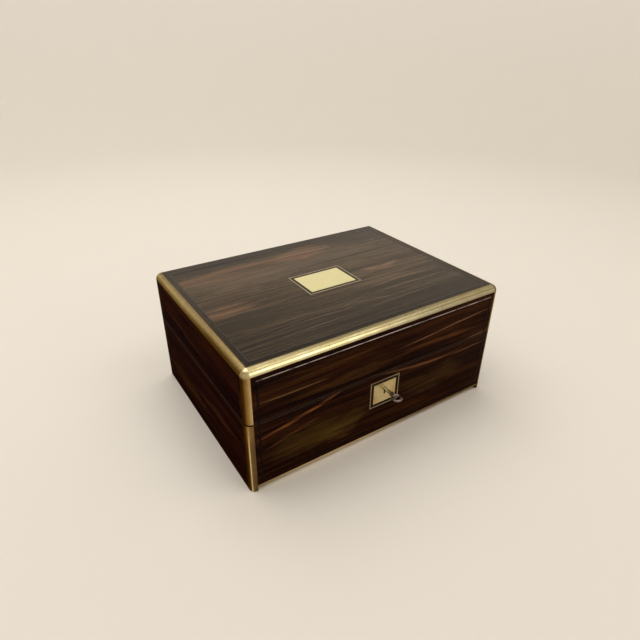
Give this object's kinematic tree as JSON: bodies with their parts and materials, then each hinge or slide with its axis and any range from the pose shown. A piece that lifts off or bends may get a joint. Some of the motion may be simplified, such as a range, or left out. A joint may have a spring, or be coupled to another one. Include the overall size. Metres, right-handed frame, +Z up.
{
  "type": "fitted dressing box",
  "caption": "Brass-edged veneered dressing box with lid mirror, lift-out tray, glass jars and bottles, side drawer and key lock.",
  "frame": {"origin": "middle of the underside, on the baize that the box stands on", "axes": "+X to the right along the front, +Y from front to back, +Z up"},
  "size_m": [0.315, 0.2513, 0.1373],
  "materials": {
    "coromandel_veneer": "French polished, near-black with coppery and olive streaks",
    "carcase_mahogany": "oiled mahogany",
    "rosewood": "polished rosewood",
    "ebony": "polished black line",
    "edge_brass": "rubbed, softly polished",
    "plate_brass": "polished plate, fine scratches",
    "hardware_brass": "polished",
    "key_steel": "worn steel",
    "baize": "dark green baize",
    "velvet": "crimson velvet",
    "tooled_leather": "dark red morocco with gilt lines",
    "mirror_silver": "silvered glass",
    "cut_glass": "clear polished glass",
    "silver_plate": "polished silver plate"
  },
  "bodies": {
    "base": {"base_front_board": "coromandel_veneer", "base_back_board": "coromandel_veneer", "base_left_board": "coromandel_veneer", "base_right_board": "coromandel_veneer", "base_bottom": "carcase_mahogany", "underside_baize": "baize", "base_front_bead": "edge_brass", "base_corner_beads": "edge_brass", "base_front_string": "ebony", "escutcheon_plate": "plate_brass", "escutcheon_ebony": "ebony", "escutcheon_line": "plate_brass", "lock_case": "hardware_brass", "base_rim_screws": "hardware_brass", "hinge_lower_leaves": "hardware_brass", "hinge_pins": "hardware_brass", "drawer_deck": "rosewood", "drawer_guides": "carcase_mahogany", "lining_boards": "rosewood", "cell_boards": "rosewood", "cell_pads": "velvet"},
    "lid": {"lid_top_board": "coromandel_veneer", "lid_front_board": "coromandel_veneer", "lid_back_board": "coromandel_veneer", "lid_left_board": "coromandel_veneer", "lid_right_board": "coromandel_veneer", "lid_front_bead": "edge_brass", "lid_side_beads": "edge_brass", "lid_corner_beads": "edge_brass", "lid_top_string": "ebony", "lid_front_string": "ebony", "lid_plate": "plate_brass", "lid_plate_ebony": "ebony", "lid_plate_line": "plate_brass", "lock_link_plate": "hardware_brass", "lid_rim_screws": "hardware_brass", "hinge_upper_leaves": "hardware_brass", "lid_lining": "velvet", "letter_wallet": "tooled_leather", "mirror_brackets": "hardware_brass"},
    "mirror": {"mirror_frame": "tooled_leather", "mirror_glass": "mirror_silver"},
    "key": {"key": "key_steel"},
    "lock_bolt": {"lock_bolt": "hardware_brass"},
    "drawer_pin": {"drawer_pin": "hardware_brass"},
    "drawer": {"drawer_front": "coromandel_veneer", "drawer_boards": "carcase_mahogany", "drawer_padding": "velvet", "drawer_knob": "hardware_brass"},
    "tray": {"tray_boards": "rosewood", "tray_pads": "velvet", "tray_knobs": "hardware_brass"},
    "jar_left": {"jar_left": "cut_glass"},
    "jar_left_cover": {"jar_left_cover": "silver_plate"},
    "jar_right": {"jar_right": "cut_glass"},
    "jar_right_cover": {"jar_right_cover": "silver_plate"},
    "bottle_left": {"bottle_left": "cut_glass"},
    "bottle_left_cap": {"bottle_left_cap": "silver_plate"},
    "bottle_right": {"bottle_right": "cut_glass"},
    "bottle_right_cap": {"bottle_right_cap": "silver_plate"}
  },
  "joints": [
    {"name": "lid_hinge", "type": "hinge", "parent": "base", "child": "lid", "pos_m": [0, 0.1124, 0.0805], "axis": [-1, 0, 0], "range_deg": [0, 100]},
    {"name": "mirror_swing", "type": "hinge", "parent": "lid", "child": "mirror", "pos_m": [0, 0.0893, 0.117], "axis": [1, 0, 0], "range_deg": [0, 8]},
    {"name": "key_turn", "type": "hinge", "parent": "base", "child": "key", "pos_m": [0, -0.1186, 0.0605], "axis": [0, -1, 0], "range_deg": [0, 180]},
    {"name": "bolt_slide", "type": "slide", "parent": "base", "child": "lock_bolt", "axis": [-1, 0, 0], "range_m": [0, 0.006]},
    {"name": "drawer_slide", "type": "slide", "parent": "base", "child": "drawer", "axis": [1, 0, 0], "range_m": [0, 0.15]},
    {"name": "drawer_pin_slide", "type": "slide", "parent": "base", "child": "drawer_pin", "axis": [0, 0, -1], "range_m": [0, 0.005]},
    {"name": "tray_lift", "type": "slide", "parent": "base", "child": "tray", "axis": [0, 0, 1], "range_m": [0, 0.025]},
    {"name": "jar_left_lift", "type": "slide", "parent": "base", "child": "jar_left", "axis": [0, 0, 1], "range_m": [0, 0.014]},
    {"name": "jar_left_cover_lift", "type": "slide", "parent": "jar_left", "child": "jar_left_cover", "axis": [0, 0, 1], "range_m": [0, 0.014]},
    {"name": "jar_right_lift", "type": "slide", "parent": "base", "child": "jar_right", "axis": [0, 0, 1], "range_m": [0, 0.014]},
    {"name": "jar_right_cover_lift", "type": "slide", "parent": "jar_right", "child": "jar_right_cover", "axis": [0, 0, 1], "range_m": [0, 0.014]},
    {"name": "bottle_left_lift", "type": "slide", "parent": "base", "child": "bottle_left", "axis": [0, 0, 1], "range_m": [0, 0.014]},
    {"name": "bottle_left_cap_lift", "type": "slide", "parent": "bottle_left", "child": "bottle_left_cap", "axis": [0, 0, 1], "range_m": [0, 0.014]},
    {"name": "bottle_right_lift", "type": "slide", "parent": "base", "child": "bottle_right", "axis": [0, 0, 1], "range_m": [0, 0.014]},
    {"name": "bottle_right_cap_lift", "type": "slide", "parent": "bottle_right", "child": "bottle_right_cap", "axis": [0, 0, 1], "range_m": [0, 0.014]}
  ],
  "couplings": [
    {"joint": "key_turn", "follows": "bolt_slide", "rad_per_m": 523.59}
  ]
}
